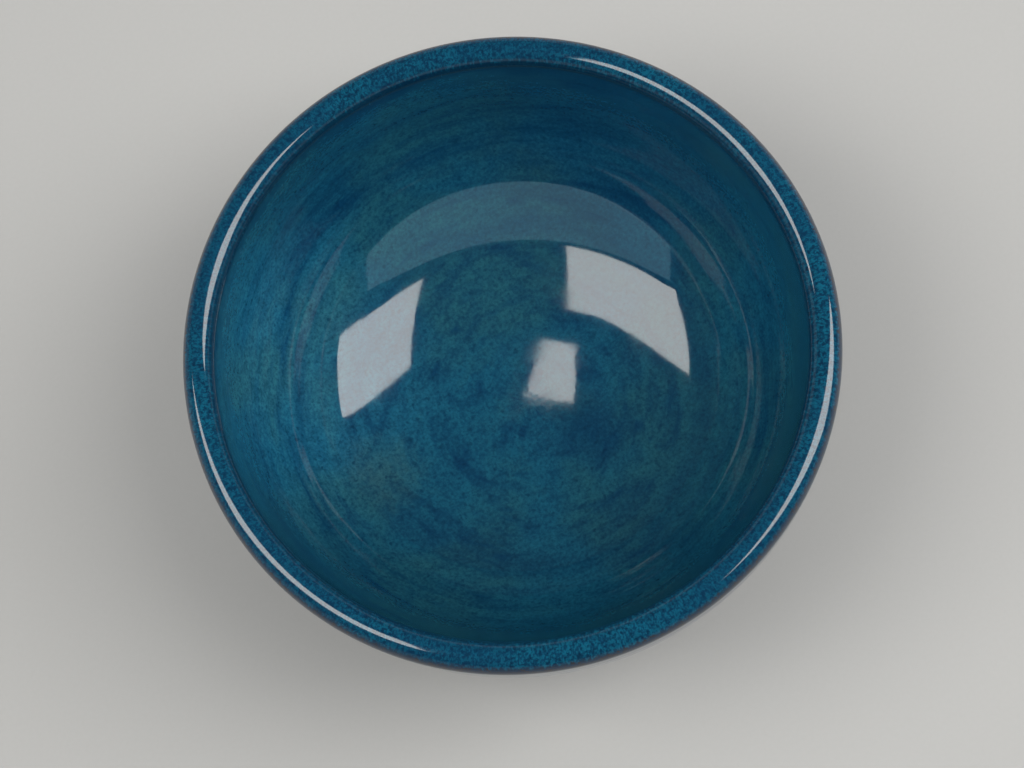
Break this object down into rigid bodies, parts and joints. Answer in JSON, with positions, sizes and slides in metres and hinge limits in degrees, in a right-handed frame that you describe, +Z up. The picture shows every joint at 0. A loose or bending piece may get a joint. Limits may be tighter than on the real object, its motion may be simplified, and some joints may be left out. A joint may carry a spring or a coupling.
{
  "type": "yarn bowl",
  "caption": "Round thrown stoneware bowl with a rounded lip, deep well and turned foot ring, glazed blue-green inside and out; its rim has no yarn slot.",
  "frame": {"origin": "centre of the foot ring's resting face, on the bowl's axis", "axes": "+Z up along the bowl's axis of turning; the bowl is round, so X and Y are free"},
  "size_m": [0.15, 0.15, 0.076],
  "materials": {
    "bare_clay": "fired bare stoneware, fine speckle",
    "foot_clay": "turned bare stoneware, resting edge rubbed smooth",
    "inside_glaze": "gloss glaze, mottled teal and blue",
    "rim_glaze": "gloss glaze, thin over the lip, radial streaks",
    "outside_glaze": "gloss glaze, blue running to slate at the bottom edge"
  },
  "bodies": {
    "root": {"clay_body": "bare_clay", "foot_ring": "foot_clay", "inside_glaze": "inside_glaze", "rim_glaze": "rim_glaze", "outside_glaze": "outside_glaze"}
  },
  "joints": []
}
